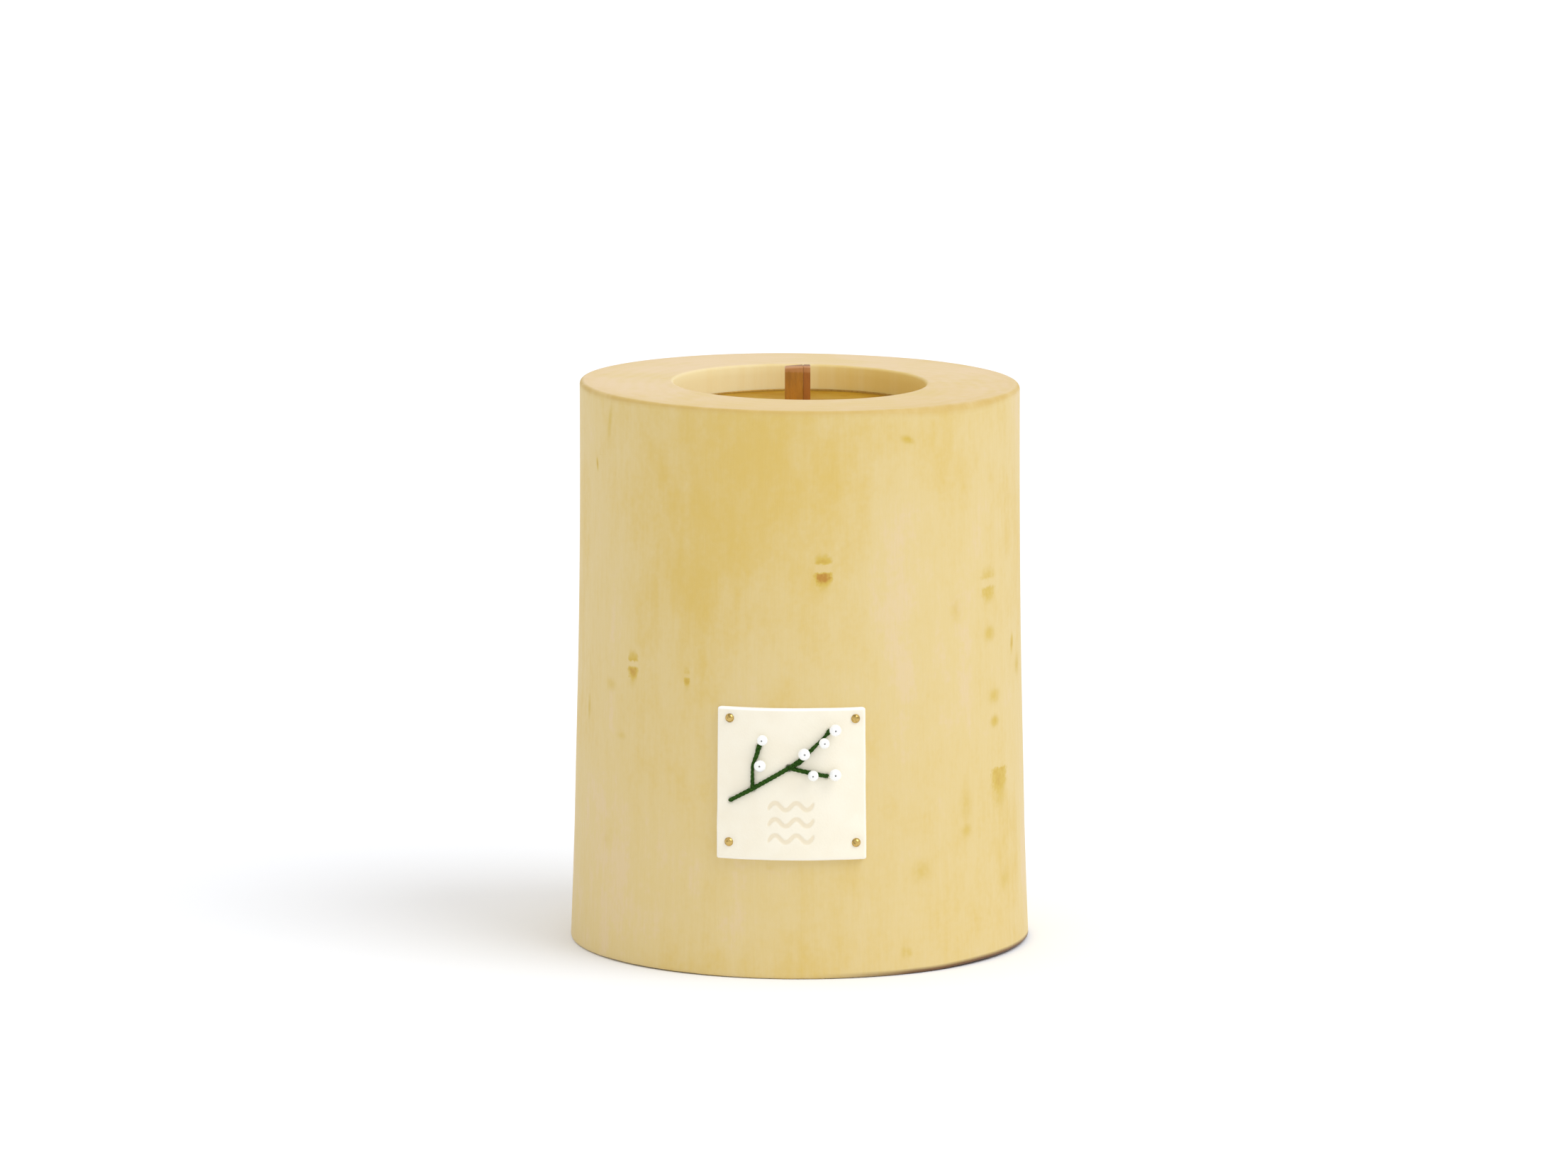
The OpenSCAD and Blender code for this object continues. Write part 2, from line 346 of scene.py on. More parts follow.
def stain_at(turn, z):
    """How yellow the sapwood is at a place: above 0 for yellow, below for rosy."""
    total = 0.3 + 0.45 * smooth(14 * MM, 2 * MM, z) * smooth(0.9, 0.3, abs(turn))
    drift = 0.06 * noise.noise(Vector((z * 60, 5, 0)))
    total += 0.15 * smooth(-0.95 + drift, -0.78 + drift, turn) * smooth(60 * MM, 90 * MM, z)
    for place, height, half_width, half_height, strength in STAINS:
        across = turn_gap(turn, math.radians(place)) * BASE_R / MM / half_width
        rise = (z / MM - height) / half_height
        total += strength * math.exp(-across * across - rise * rise)
    return total


def box_form(low, high, bevel, segments, profile):
    """A bmesh of a box with bevelled edges."""
    form = bmesh.new()
    bmesh.ops.create_cube(form, size=1, matrix=Matrix.Translation((low + high) / 2)
                          @ Matrix.Diagonal((*(high - low), 1)))
    bmesh.ops.bevel(form, geom=form.edges[:], offset=bevel, segments=segments, affect="EDGES",
                    profile=profile)
    return form


def shaped(name, form):
    """An object of a finished bmesh, which is freed."""
    mesh = bpy.data.meshes.new(name)
    form.to_mesh(mesh)
    form.free()
    return softened(name, mesh, 50)


def block(low, high, bevel, name):
    """A box with bevelled edges, as an object."""
    return shaped(name, box_form(low, high, bevel, 2, 0.6))


def settle(made, body, nodes, material):
    """Gives a finished piece its material and its body, and hides the CAD nodes that it stands for."""
    made.data.materials.clear()
    made.data.materials.append(material)
    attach(made, body)
    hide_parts(*nodes)


# ---------------------------------------------------------------- node helpers


class Net:
    """A node tree under construction. Each call adds one node and returns its main output."""

    def __init__(self, tree):
        self.tree = tree

    def put(self, kind, values=None, **choices):
        """Adds a node, makes its choices, and sets or links its inputs."""
        node = self.tree.nodes.new(kind)
        for name, value in choices.items():
            setattr(node, name, value)
        return self.fill(node, values or {})

    def fill(self, node, values):
        """Sets or links a node's inputs, given by name or number."""
        for key, value in values.items():
            self.feed(node.inputs[key], value)
        return node

    def feed(self, socket, value):
        """Links an output to a socket, or sets its value."""
        if isinstance(value, bpy.types.NodeSocket):
            self.tree.links.new(value, socket)
        else:
            socket.default_value = value

    def maths(self, operation, *values, clamp=False):
        return self.put("ShaderNodeMath", dict(enumerate(values)), operation=operation,
                        use_clamp=clamp).outputs[0]

    def times(self, a, b):
        return self.maths("MULTIPLY", a, b)

    def plus(self, a, b, clamp=False):
        return self.maths("ADD", a, b, clamp=clamp)

    def minus(self, a, b):
        return self.maths("SUBTRACT", a, b)

    def sway(self, value, amount, onto):
        """Adds to one value what another swings about its middle of 0.5, times an amount."""
        return self.maths("MULTIPLY_ADD", self.minus(value, 0.5), amount, onto)

    def attribute(self, name, output="Fac"):
        """What is stored on the mesh under a name."""
        return self.put("ShaderNodeAttribute", attribute_name=name).outputs[output]

    def parts(self, vector):
        """The three parts of a vector."""
        return self.put("ShaderNodeSeparateXYZ", {0: vector}).outputs

    def vector(self, operation, *values, scale=None):
        node = self.put("ShaderNodeVectorMath", dict(enumerate(values)), operation=operation)
        if scale is not None:
            self.feed(node.inputs["Scale"], scale)
        return node.outputs[1 if operation in ("LENGTH", "DISTANCE", "DOT_PRODUCT") else 0]

    def mix(self, share, a, b):
        """Blends two colours."""
        node = self.put("ShaderNodeMix", data_type="RGBA")
        for socket, value in zip((node.inputs[0], node.inputs[6], node.inputs[7]), (share, a, b)):
            plain = isinstance(value, (bpy.types.NodeSocket, float, int))
            self.feed(socket, value if plain else (*value, 1)[:4])
        return node.outputs[2]

    def noise(self, position, scale, detail=2.0, roughness=0.5):
        return self.put("ShaderNodeTexNoise", {"Vector": position, "Scale": scale, "Detail": detail,
                                               "Roughness": roughness}).outputs["Fac"]

    def fade(self, value, low, high, to_low=0.0, to_high=1.0):
        """A smooth step of a value, from to_low at low to to_high at high."""
        return self.put("ShaderNodeMapRange", {"Value": value, "From Min": low, "From Max": high,
                                               "To Min": to_low, "To Max": to_high},
                        interpolation_type="SMOOTHSTEP").outputs[0]

    def group(self, tree, **values):
        """Places a group; an input's name has underscores for spaces."""
        node = self.put("ShaderNodeGroup", node_tree=tree)
        for key, value in values.items():
            self.feed(node.inputs[key.replace("_", " ")], value)
        return node.outputs


def shader_group(name, inputs, outputs):
    """An empty shader node group, its net, its inputs by name and its output node."""
    tree = bpy.data.node_groups.new(name, "ShaderNodeTree")
    for label, (kind, default) in inputs.items():
        socket = tree.interface.new_socket(label, in_out="INPUT", socket_type="NodeSocket" + kind)
        if default is not None:
            socket.default_value = default
    for label in outputs:
        tree.interface.new_socket(label, in_out="OUTPUT", socket_type="NodeSocketFloat")
    net = Net(tree)
    return tree, net, net.put("NodeGroupInput").outputs, net.put("NodeGroupOutput").inputs


def fibre_group():
    """Wood fibre that runs along Z: soft broad streaks and fine hair lines."""
    tree, net, given, out = shader_group(
        "Wood fibre",
        {"Position": ("Vector", None), "Streak Width": ("Float", 3.0), "Streak Length": ("Float", 60.0)},
        ["Broad", "Fine"])
    thin = net.maths("DIVIDE", 1.0, given["Streak Width"])
    long = net.maths("DIVIDE", 1.0, given["Streak Length"])
    squeeze = net.put("ShaderNodeCombineXYZ", {0: thin, 1: thin, 2: long}).outputs[0]
    stretched = net.vector("MULTIPLY", given["Position"], squeeze)
    net.feed(out["Broad"], net.noise(stretched, 1.0, 3.0, 0.55))
    net.feed(out["Fine"], net.noise(stretched, 9.0, 4.0, 0.65))
    return tree


def bud_group():
    """A bud mark: a brown oval cut by a pale level band, with a soft tail hanging below."""
    tree, net, given, out = shader_group(
        "Bud mark",
        {"Place": ("Vector", None), "Form": ("Vector", None), "Ragged": ("Float", 0.5)},
        ["Brown", "Pale"])
    place, form = net.parts(given["Place"]), net.parts(given["Form"])
    wobble = net.minus(given["Ragged"], 0.5)
    u = net.maths("MULTIPLY_ADD", wobble, 0.7, place[0])
    v = net.maths("MULTIPLY_ADD", wobble, 0.35, place[1])
    beyond = net.minus(net.maths("ABSOLUTE", v), form[0])
    square = net.times(u, u)
    depth = net.times(beyond, 0.95)
    reach = net.maths("SQRT", net.plus(net.times(square, square),
                                        net.times(depth, depth)))
    disc = net.fade(reach, 1.2, 0.1)
    start = net.fade(beyond, -0.1, 0.16)
    upper = net.put("ShaderNodeMapRange", {"Value": v, "From Min": -0.04, "From Max": 0.04, "To Min": 1.0,
                                           "To Max": form[1]}).outputs[0]
    brown = net.times(net.times(disc, upper), start)
    across = net.maths("EXPONENT", net.times(net.times(u, u), -2.0))
    fall = net.times(net.fade(v, -2.8, -0.7), net.fade(v, -0.3, -0.8))
    tail = net.times(net.times(across, fall), form[2])
    brown = net.plus(brown, tail, clamp=True)
    net.feed(out["Brown"], net.times(brown, place[2]))
    gap = net.times(disc, net.minus(1.0, start))
    net.feed(out["Pale"], net.times(net.times(gap, form[1]), place[2]))
    return tree


def speckle_group():
    """Fine even unevenness of a surface: pores at one scale and cloudiness at a coarser one."""
    tree, net, given, out = shader_group(
        "Surface speckle", {"Position": ("Vector", None), "Grain Size": ("Float", 0.3)}, ["Pores", "Cloud"])
    scale = net.maths("DIVIDE", 1.0, given["Grain Size"])
    net.feed(out["Pores"], net.noise(given["Position"], scale, 3.0, 0.6))
    net.feed(out["Cloud"], net.noise(given["Position"], net.times(scale, 0.06), 2.0, 0.5))
    return tree


GROUPS = {}


def shared(name):
    """A shader group, built once."""
    builders = {"fibre": fibre_group, "bud": bud_group, "speckle": speckle_group}
    if name not in GROUPS:
        GROUPS[name] = builders[name]()
    return GROUPS[name]


def material(name):
    """A new material, its net, its shader and its position in millimetres."""
    made = bpy.data.materials.new(name)
    made.use_nodes = True
    net = Net(made.node_tree)
    shader = made.node_tree.nodes["Principled BSDF"]
    place = net.put("ShaderNodeTexCoord").outputs["Object"]
    return made, net, shader, net.vector("SCALE", place, scale=1000.0)


def dimmed(tone, share):
    """A darker colour."""
    return [part * share for part in tone]


def bump(net, shader, height, distance, strength=1.0):
    """A relief whose height runs from 0 to 1 over a distance in metres."""
    node = net.put("ShaderNodeBump", {"Height": height, "Distance": distance, "Strength": strength})
    net.feed(shader.inputs["Normal"], node.outputs[0])


# ---------------------------------------------------------------- materials

# The bud marks of the trunk: turn in degrees and height, half width and half height
# in millimetres, tilt in degrees, half band, strength of the upper half, of the tail and of the whole
BUD_MARKS = [
    (6, 96, 2.5, 3, 0, 0.3, 0.7, 0.5, 1),
    (-48, 71, 2, 3, 0, 0.2, 0.8, 0.5, 0.8),
    (-30, 70, 1, 2, 0, 0.2, 0.5, 0.5, 0.7),
    (58, 89, 3.5, 4, 0, 0.2, 0.8, 0.3, 0.5),
    (62, 45, 4.5, 5, 0, 0, 0, 0.8, 0.7),
    (120, 85, 2.5, 2.5, 0, 0.2, 0.6, 0.6, 1),
    (-130, 60, 2, 2.5, 0, 0.2, 0.6, 0.5, 0.8),
    (170, 100, 2.5, 3, 0, 0.2, 0.6, 0.7, 1),
]
# The plainer brown spots and streaks: turn, height, half width, half height, tilt, strength.
# Neighbours stand at odd and even places, because each half of the list is painted by itself.
SPOTS = [
    (30, 125, 2, 1, -20, 0.6),
    (58, 77, 2.5, 2, 0, 0.5),
    (72, 73, 1, 2, -10, 0.8),
    (60, 62, 3, 2, 0, 0.45),
    (60, 56, 2, 1.5, 0, 0.6),
    (77, 67, 2.5, 2.5, 0, 0.5),
    (47, 32, 2, 2, 0, 0.4),
    (47, 38, 2.5, 5, 0, 0.3),
    (32, 24, 3, 3, 0, 0.35),
    (-67, 116, 0.5, 1.5, 10, 0.8),
    (-70, 58, 1, 3.5, 0, 0.5),
    (-60, 127, 1, 5, -10, 0.4),
]
# Broad patches of colour: turn, height, half width, half height, strength (yellow above 0, rosy below)
STAINS = [
    (-22, 108, 26, 36, 0.65),
    (-30, 85, 16, 16, 0.2),
    (5, 122, 14, 16, 0.2),
    (22, 86, 12, 26, -0.5),
    (45, 116, 9, 12, 0.4),
    (78, 90, 8, 24, 0.6),
    (58, 88, 5, 16, 0.3),
    (-10, 66, 18, 3, 0.2),
    (-80, 100, 8, 40, 0.4),
    (52, 50, 22, 60, -0.2),
    (84, 20, 8, 16, -0.9),
    (80, 125, 8, 12, -0.5),
    (-12, 75, 16, 16, -0.25),
    (-60, 30, 26, 20, -0.2),
    (66, 24, 8, 20, 0.3),
    (130, 80, 30, 50, 0.5),
    (-140, 60, 26, 40, 0.3),
]


def faint_spots():
    """Faint flecks and short streaks all round the trunk, thickest low down, from a fixed seed."""
    draw = random.Random(5)
    return [(draw.uniform(-180, 180), 5 + 120 * draw.random() ** 1.4, draw.uniform(0.5, 2.5),
             draw.uniform(0.8, 3.5), 0, draw.uniform(0.12, 0.35)) for _ in range(30)]


def bare_wood(s):
    """Debarked sapwood: fibre, colour patches, bud marks, sawn end grain and the bore's wall."""
    made, net, shader, place = material("bare_wood")
    fibre = net.group(shared("fibre"), Position=place, Streak_Width=4.0, Streak_Length=70.0)
    cloud = net.noise(net.vector("MULTIPLY", place, (0.03, 0.03, 0.016)), 1.0, 2.0)

    yellow = net.plus(net.fade(cloud, 0.3, 0.75, -0.1, 0.45), net.attribute("yellow"))
    yellow = net.sway(fibre["Broad"], 0.6, yellow)
    # Blotches, then streaks along the grain, then a fine mottle
    for across, along, amount in ((0.15, 0.09, 1.6), (0.5, 0.04, 0.55)):
        uneven = net.noise(net.vector("MULTIPLY", place, (across, across, along)), 1.0, 3.0, 0.6)
        yellow = net.sway(uneven, amount, yellow)
    yellow = net.sway(net.noise(place, 0.7, 2.0), 0.6, yellow)
    side = net.mix(net.fade(yellow, -0.2, 0.3), s.rosy, s.pale)
    side = net.mix(net.fade(yellow, 0.2, 1.7), side, s.ochre)
    side = net.mix(net.fade(fibre["Fine"], 0.35, 0.7, 0.0, 0.1), side, s.ochre)

    bud = net.group(shared("bud"), Place=net.attribute("bud", "Vector"),
                    Form=net.attribute("bud_form", "Vector"), Ragged=net.noise(place, 1.1))
    brown = bud["Brown"]
    for name in ("spot", "more_spots", "flecks"):
        spot_place = net.attribute(name, "Vector")
        strength = net.parts(spot_place)[2]
        flat = net.vector("MULTIPLY", spot_place, (1.0, 1.0, 0.0))
        spread = net.vector("DOT_PRODUCT", flat, flat)
        spot = net.times(net.maths("EXPONENT", net.times(spread, -1.0)), strength)
        brown = net.maths("MAXIMUM", brown, spot)
    brown = net.times(brown, net.fade(net.noise(place, 0.9, 3.0), 0.25, 0.6, 0.75, 1.0))
    side = net.mix(net.times(bud["Pale"], 0.25), side, s.rosy)
    side = net.mix(net.fade(brown, 0.0, 0.6), side, s.stain)
    side = net.mix(net.fade(brown, 0.5, 1.1), side, s.knot)

    # The sawn top and foot: growth rings round a pith that stood beside the bore
    sawn = net.attribute("sawn")
    off_pith = net.vector("MULTIPLY", net.vector("ADD", place, (-6.0, 9.0, 0.0)), (1.0, 1.0, 0.0))
    ripple = net.times(net.noise(net.vector("SCALE", place, scale=0.05), 1.0, 3.0), 9.0)
    ring_phase = net.plus(net.vector("LENGTH", off_pith), ripple)
    rings = net.maths("SINE", net.times(ring_phase, 1.9))
    blotch = net.noise(net.vector("SCALE", place, scale=0.07), 1.0, 3.0)
    ring_tone = net.maths("MULTIPLY_ADD", rings, 0.12, net.fade(blotch, 0.35, 0.75, 0.0, 0.6))
    end = net.mix(ring_tone, s.end_grain, s.pale)
    end = net.mix(net.fade(yellow, 0.3, 1.3, 0.0, 0.3), end, s.ochre)
    colour_now = net.mix(sawn, side, end)
    # Painted shade: the bore's wall goes from its lit left to its shaded right
    wall_shade_share = net.sway(fibre["Broad"], 0.8, net.attribute("yellow"))
    wall = net.mix(net.fade(wall_shade_share, 0.0, 1.0), s.wall_lit, s.wall_shaded)
    colour_now = net.mix(net.attribute("bored"), colour_now, wall)
    edge = net.times(net.attribute("edge_line"), net.fade(fibre["Broad"], 0.2, 0.7, 0.45, 1.0))
    colour_now = net.mix(edge, colour_now, s.edge_line)
    # Painted shade along the foot's lifted rim, darkest on the right
    colour_now = net.mix(net.attribute("foot_gap_shade"), colour_now, s.foot_gap_shade)

    gloss = net.sway(fibre["Fine"], 0.25, 0.55)
    net.fill(shader, {"Base Color": colour_now, "Specular IOR Level": 0.35,
                      "Roughness": net.maths("MAXIMUM", gloss, net.times(sawn, 0.8))})
    relief = net.plus(fibre["Fine"], net.times(fibre["Broad"], 1.5))
    relief = net.minus(relief, net.times(brown, 0.5))
    bump(net, shader, relief, 0.05 * MM, 0.8)
    return made


def white_leather(s):
    """Pearly leather with a fine pebbled grain, darker where it is pressed."""
    made, net, shader, place = material("white_leather")
    speckle = net.group(shared("speckle"), Position=place, Grain_Size=0.35)
    cells = net.put("ShaderNodeTexVoronoi", {"Vector": place, "Scale": 2.2}, feature="SMOOTH_F1")
    grain = net.plus(cells.outputs["Distance"], net.times(speckle["Pores"], 0.7))
    face = net.mix(net.fade(speckle["Cloud"], 0.3, 0.7, 0.0, 0.2), s.leather, s.motif)
    face = net.mix(net.times(net.attribute("pressed"), 0.85), face, s.motif)
    # The whiter edge: cut leather, and along the top a painted highlight
    face = net.mix(net.attribute("cut"), face, s.cut)
    net.fill(shader, {"Base Color": face, "Roughness": net.fade(speckle["Pores"], 0.3, 0.7, 0.38, 0.52),
                      "Sheen Weight": 0.15, "Sheen Roughness": 0.4})
    bump(net, shader, grain, 0.035 * MM, 0.7)
    return made


def green_thread(s):
    """Dark green thread with lighter fibres along its strands."""
    made, net, shader, place = material("green_thread")
    speckle = net.group(shared("speckle"), Position=place, Grain_Size=0.12)
    facing = net.put("ShaderNodeLayerWeight", {"Blend": 0.35}).outputs["Facing"]
    tone = net.mix(net.fade(speckle["Pores"], 0.42, 0.72, 0.0, 0.75), s.thread, s.fuzz)
    net.fill(shader, {"Base Color": tone, "Roughness": net.fade(facing, 0.0, 1.0, 0.65, 0.9),
                      "Specular IOR Level": 0.12})
    bump(net, shader, speckle["Pores"], 0.06 * MM)
    return made


def white_bead(s):
    """Glossy white glass bead, a little translucent, its gloss faintly uneven."""
    made, net, shader, place = material("white_bead")
    speckle = net.group(shared("speckle"), Position=place, Grain_Size=0.2)
    net.fill(shader, {"Base Color": (*s.bead, 1),
                      "Roughness": net.fade(speckle["Cloud"], 0.3, 0.7, 0.12, 0.22),
                      "Coat Weight": 0.4, "Coat Roughness": 0.08, "Subsurface Weight": 0.4,
                      "Subsurface Radius": (1.0, 1.0, 0.95), "Subsurface Scale": 0.6 * MM})
    bump(net, shader, speckle["Pores"], 0.008 * MM, 0.4)
    return made


def sheet_metal(name, tone, roughness, grain, tarnish_and_reflection):
    """Metal with faint drawing marks and small dark spots: tarnish, and on the brass pins also painted dark
    reflections.
    """
    made, net, shader, place = material(name)
    speckle = net.group(shared("speckle"), Position=place, Grain_Size=grain)
    spots = net.fade(speckle["Pores"], 0.5, 0.68, 0.0, tarnish_and_reflection)
    uneven = net.fade(speckle["Pores"], 0.3, 0.7, roughness * 0.8, roughness * 1.3)
    net.fill(shader, {"Base Color": net.mix(spots, tone, dimmed(tone, 0.35)), "Roughness": uneven,
                      "Metallic": 1.0})
    bump(net, shader, speckle["Pores"], 0.01 * MM, 0.5)
    return made


def beeswax(s):
    """Yellow wax: a soft deep colour, mottled, with a satin skin."""
    made, net, shader, place = material("yellow_wax")
    speckle = net.group(shared("speckle"), Position=place, Grain_Size=0.6)
    deep = [c * k for c, k in zip(s.wax, (0.86, 0.78, 0.6))]
    net.fill(shader, {"Base Color": net.mix(net.fade(speckle["Cloud"], 0.35, 0.65), s.wax, deep),
                      "Roughness": net.fade(speckle["Cloud"], 0.3, 0.7, 0.45, 0.6),
                      "Specular IOR Level": 0.2, "Subsurface Weight": 0.25,
                      "Subsurface Radius": (1.0, 0.55, 0.2), "Subsurface Scale": 2.0 * MM})
    bump(net, shader, speckle["Cloud"], 0.12 * MM, 0.5)
    return made


def wick_wood(name, tone, tip):
    """A wick strip: waxed softwood veneer, paler and glossier at its cut tip."""
    made, net, shader, place = material(name)
    fibre = net.group(shared("fibre"), Position=place, Streak_Width=1.1, Streak_Length=9.0)
    dark = dimmed(tone, 0.6)
    face = net.mix(net.fade(fibre["Broad"], 0.35, 0.75, 0.0, 0.7), tone, dark)
    face = net.mix(net.fade(fibre["Fine"], 0.5, 0.75, 0.0, 0.35), face, dark)
    below_tip = net.minus(STRIP_HIGH.z / MM, net.parts(place)[2])
    band = net.fade(net.maths("MULTIPLY_ADD", fibre["Broad"], 0.8, below_tip), 2.5, 1.9)
    rim = net.fade(below_tip, 0.5, 0.15, 0.0, 0.75)
    face = net.mix(net.times(band, 0.75), face, tip)
    face = net.mix(rim, face, dimmed(tone, 0.35))
    net.fill(shader, {"Base Color": face, "Roughness": net.maths("MULTIPLY_ADD", band, -0.12, 0.4),
                      "Coat Weight": 0.4, "Coat Roughness": 0.15})
    bump(net, shader, net.plus(fibre["Fine"], fibre["Broad"]), 0.08 * MM)
    return made


# ---------------------------------------------------------------- pieces


class LOGCANDLE_OT_log(bpy.types.Operator):
    """Build the debarked log with its candle bore"""
    bl_idname = "logcandle.log"
    bl_label = "Log"

    def execute(self, context):
        s = context.scene.log_candle_log
        count = 384
        side_steps = 170
        side_gap, floor_gap = 0.15 * MM, 0.05 * MM
        bore_r = CUP_R + side_gap
        bore_floor = CUP_LOW.z - floor_gap
        turns = [2 * math.pi * j / count for j in range(count)]
        rings, sawn, bored, edge_line = [], [], [], []

        def add(points, sawn_value=0.0, bored_value=0.0, edge_value=0.0):
            rings.append(points)
            sawn.extend([sawn_value] * count)
            bored.extend([bored_value] * count)
            edge_line.extend([edge_value] * count)

        def top_z(x):
            return LOG_H - x * math.tan(s.top_tilt)

        def lift(turn):
            """How far the foot's rim clears the table: most at the right, a little at the left front."""
            right_turn, left_turn, left_share, least_share = 1.15, -0.75, 0.42, 0.12
            right = smooth(0.55, 0.1, abs(turn_gap(turn, right_turn)) / 1.3)
            left = smooth(0.8, 0.1, abs(turn_gap(turn, left_turn)))
            ragged = 0.12 * noise.noise(Vector((math.sin(turn), math.cos(turn), 0)) * 9)
            return s.foot_lift * max(least_share, right, left_share * left) + ragged * s.foot_lift

        # The foot is flat out to foot_r, then rises to a rim set in from the skin and eased into it
        foot_r = BASE_R - 5.0 * MM
        inset, ease = 0.7 * MM, 0.6 * MM
        for share in (0.2, 0.5, 0.8, 1.0):
            add(ring(foot_r * share, 0.0, count), sawn_value=1.0)
        add([log_skin(t, lift(t), -inset) for t in turns], sawn_value=0.5)
        for share in (0.35, 0.75):
            add([log_skin(t, lift(t) + ease * share * share, -inset * (1 - share) ** 1.6) for t in turns],
                sawn_value=0.2)

        edges = [s.top_edge * (0.8 + 0.35 * noise.noise(Vector((math.sin(t), math.cos(t), 4)) * 1.7)
                               + 0.55 * smooth(0.5, 0.1, abs(turn_gap(t, 0.75)))) for t in turns]
        for i in range(side_steps + 1):
            share = i / side_steps
            points = []
            for t, edge in zip(turns, edges):
                low = lift(t) + ease
                high = top_z(log_skin(t, LOG_H).x) - edge
                points.append(log_skin(t, low + (high - low) * share))
            add(points, edge_value=0.35 if i == side_steps else 0.0)

        for i, angle in enumerate((18, 36, 54, 72, 90)):
            points = []
            for t, edge in zip(turns, edges):
                rim = log_skin(t, LOG_H)
                inward = edge * (1 - math.cos(math.radians(angle)))
                spot = rim * (1 - inward / rim.xy.length)
                spot.z = top_z(spot.x) - edge * (1 - math.sin(math.radians(angle)))
                points.append(spot)
            add(points, sawn_value=(0.0, 0.1, 0.35, 0.7, 1.0)[i], edge_value=(0.8, 1.0, 0.9, 0.45, 0.1)[i])

        mouth_ease, saw_wave, drill_chatter = 0.7 * MM, 0.06 * MM, 0.04 * MM
        outer = rings[-1]
        top_steps = 24
        for i in range(1, top_steps + 1):
            share = i / top_steps
            points = []
            for t, start in zip(turns, outer):
                spot = start.lerp(polar(bore_r + mouth_ease, t, 0), share)
                wave = noise.noise(Vector((spot.x * 40, spot.y * 40, 7))) * saw_wave
                spot.z = top_z(spot.x) + wave
                points.append(spot)
            add(points, sawn_value=1.0, edge_value=0.22 * (1 - share) ** 6)

        mouth = rings[-1]
        for angle in (30, 60, 90):
            reach = bore_r + mouth_ease * (1 - math.sin(math.radians(angle)))
            drop = mouth_ease * (1 - math.cos(math.radians(angle)))
            add([polar(reach, t, start.z - drop) for t, start in zip(turns, mouth)],
                sawn_value=1.0 - angle / 90, bored_value=angle / 90)
        wall_top = rings[-1]
        for share in (0.06, 0.12, 0.2, 0.3, 0.45, 0.6, 0.8, 1.0):
            points = []
            for t, start in zip(turns, wall_top):
                z = start.z + (bore_floor - start.z) * share
                chatter = drill_chatter * noise.noise(Vector((math.sin(t) * 3, math.cos(t) * 3, z * 300)))
                points.append(polar(bore_r + chatter, t, z))
            add(points, bored_value=1.0)
        for share in (0.97, 0.6, 0.25):
            add(ring(bore_r * share, bore_floor, count), bored_value=1.0)

        made = piece("log", *loft(rings))
        # The two poles, at the foot and on the bore's floor, end each list
        point_layers(made.data, sawn=sawn + [1.0, 0.0], bored=bored + [0.0, 1.0],
                     edge_line=edge_line + [0.0, 0.0])
        groups = {"spot": SPOTS[0::2], "more_spots": SPOTS[1::2], "flecks": faint_spots()}
        layers = {name: [] for name in ("bud", "bud_form", *groups, "yellow", "foot_gap_shade")}
        for point in made.data.vertices:
            turn, z = turn_of(point.co), point.co.z
            mark, place, reached = nearest_mark(turn, z, BUD_MARKS, 3.0)
            layers["bud"].append((*place, mark[-1] * reached))
            layers["bud_form"].append(mark[5:8])
            for name, marks in groups.items():
                mark, place, reached = nearest_mark(turn, z, marks, 2.3)
                layers[name].append((*place, mark[-1] * reached))
            # On the bore's wall the share is painted shade, from its lit left to its shaded right
            if point.co.xy.length < bore_r + 0.4 * MM:
                tone = 0.5 + 0.6 * math.sin(turn)
            elif z > top_z(point.co.x) - 0.3 * MM:
                tone = 0.5 + 0.45 * math.cos(turn) + 0.2 * math.sin(turn)
            else:
                tone = stain_at(turn, z)
            layers["yellow"].append(tone)
            # Painted shade: the lowest millimetre or so of the side, on the right where the foot's rim is
            # lifted most, darkened for the shadow of the gap under it
            shade_side = smooth(1.1, 0.5, abs(turn_gap(turn, 1.1)))
            layers["foot_gap_shade"].append(0.95 * shade_side * smooth(1.4 * MM, 0.5 * MM, z - lift(turn)))
        point_layers(made.data, **layers)
        settle(made, "holder", ["wood_body"], bare_wood(s))
        return {"FINISHED"}


# The sprig's stitches on the plaque, drawn on half-millimetre squares: right and up from its
# centre, and the thickness there as a share of the cord's
STITCHES = {
    "stem_main": [(-14.5, -4, 0.9), (-9, -1, 1), (-0.5, 4, 1)],
    "stem_left_twig": [(-9, -1, 0.9), (-9, 4.5, 0.7), (-8, 7, 1), (-7.5, 9, 1.1)],
    "stem_upper_shoot": [(-0.5, 4, 0.9), (2, 5.5, 1.3), (4.5, 8, 0.9), (7.5, 11, 0.6), (9, 12.5, 1)],
    "stem_right_twig": [(-0.5, 4, 0.9), (4, 3, 1), (8.5, 2, 0.9)],
}


def wavy_line(u, v, row, s):
    """How deep the pressed line of one row is at a place, from 0 to 1."""
    start, end, wave, height = -5.0 * MM, 4.9 * MM, 4.95 * MM, 0.8 * MM
    level = row + height * math.sin(2 * math.pi * (u - start) / wave)
    slope = math.cos(2 * math.pi * (u - start) / wave) * height * 2 * math.pi / wave
    over = max(start - u, u - end, 0)
    gap = math.hypot(over, (v - level) / math.hypot(1, slope))
    return smooth(s.motif_width * 0.62, s.motif_width * 0.3, gap)


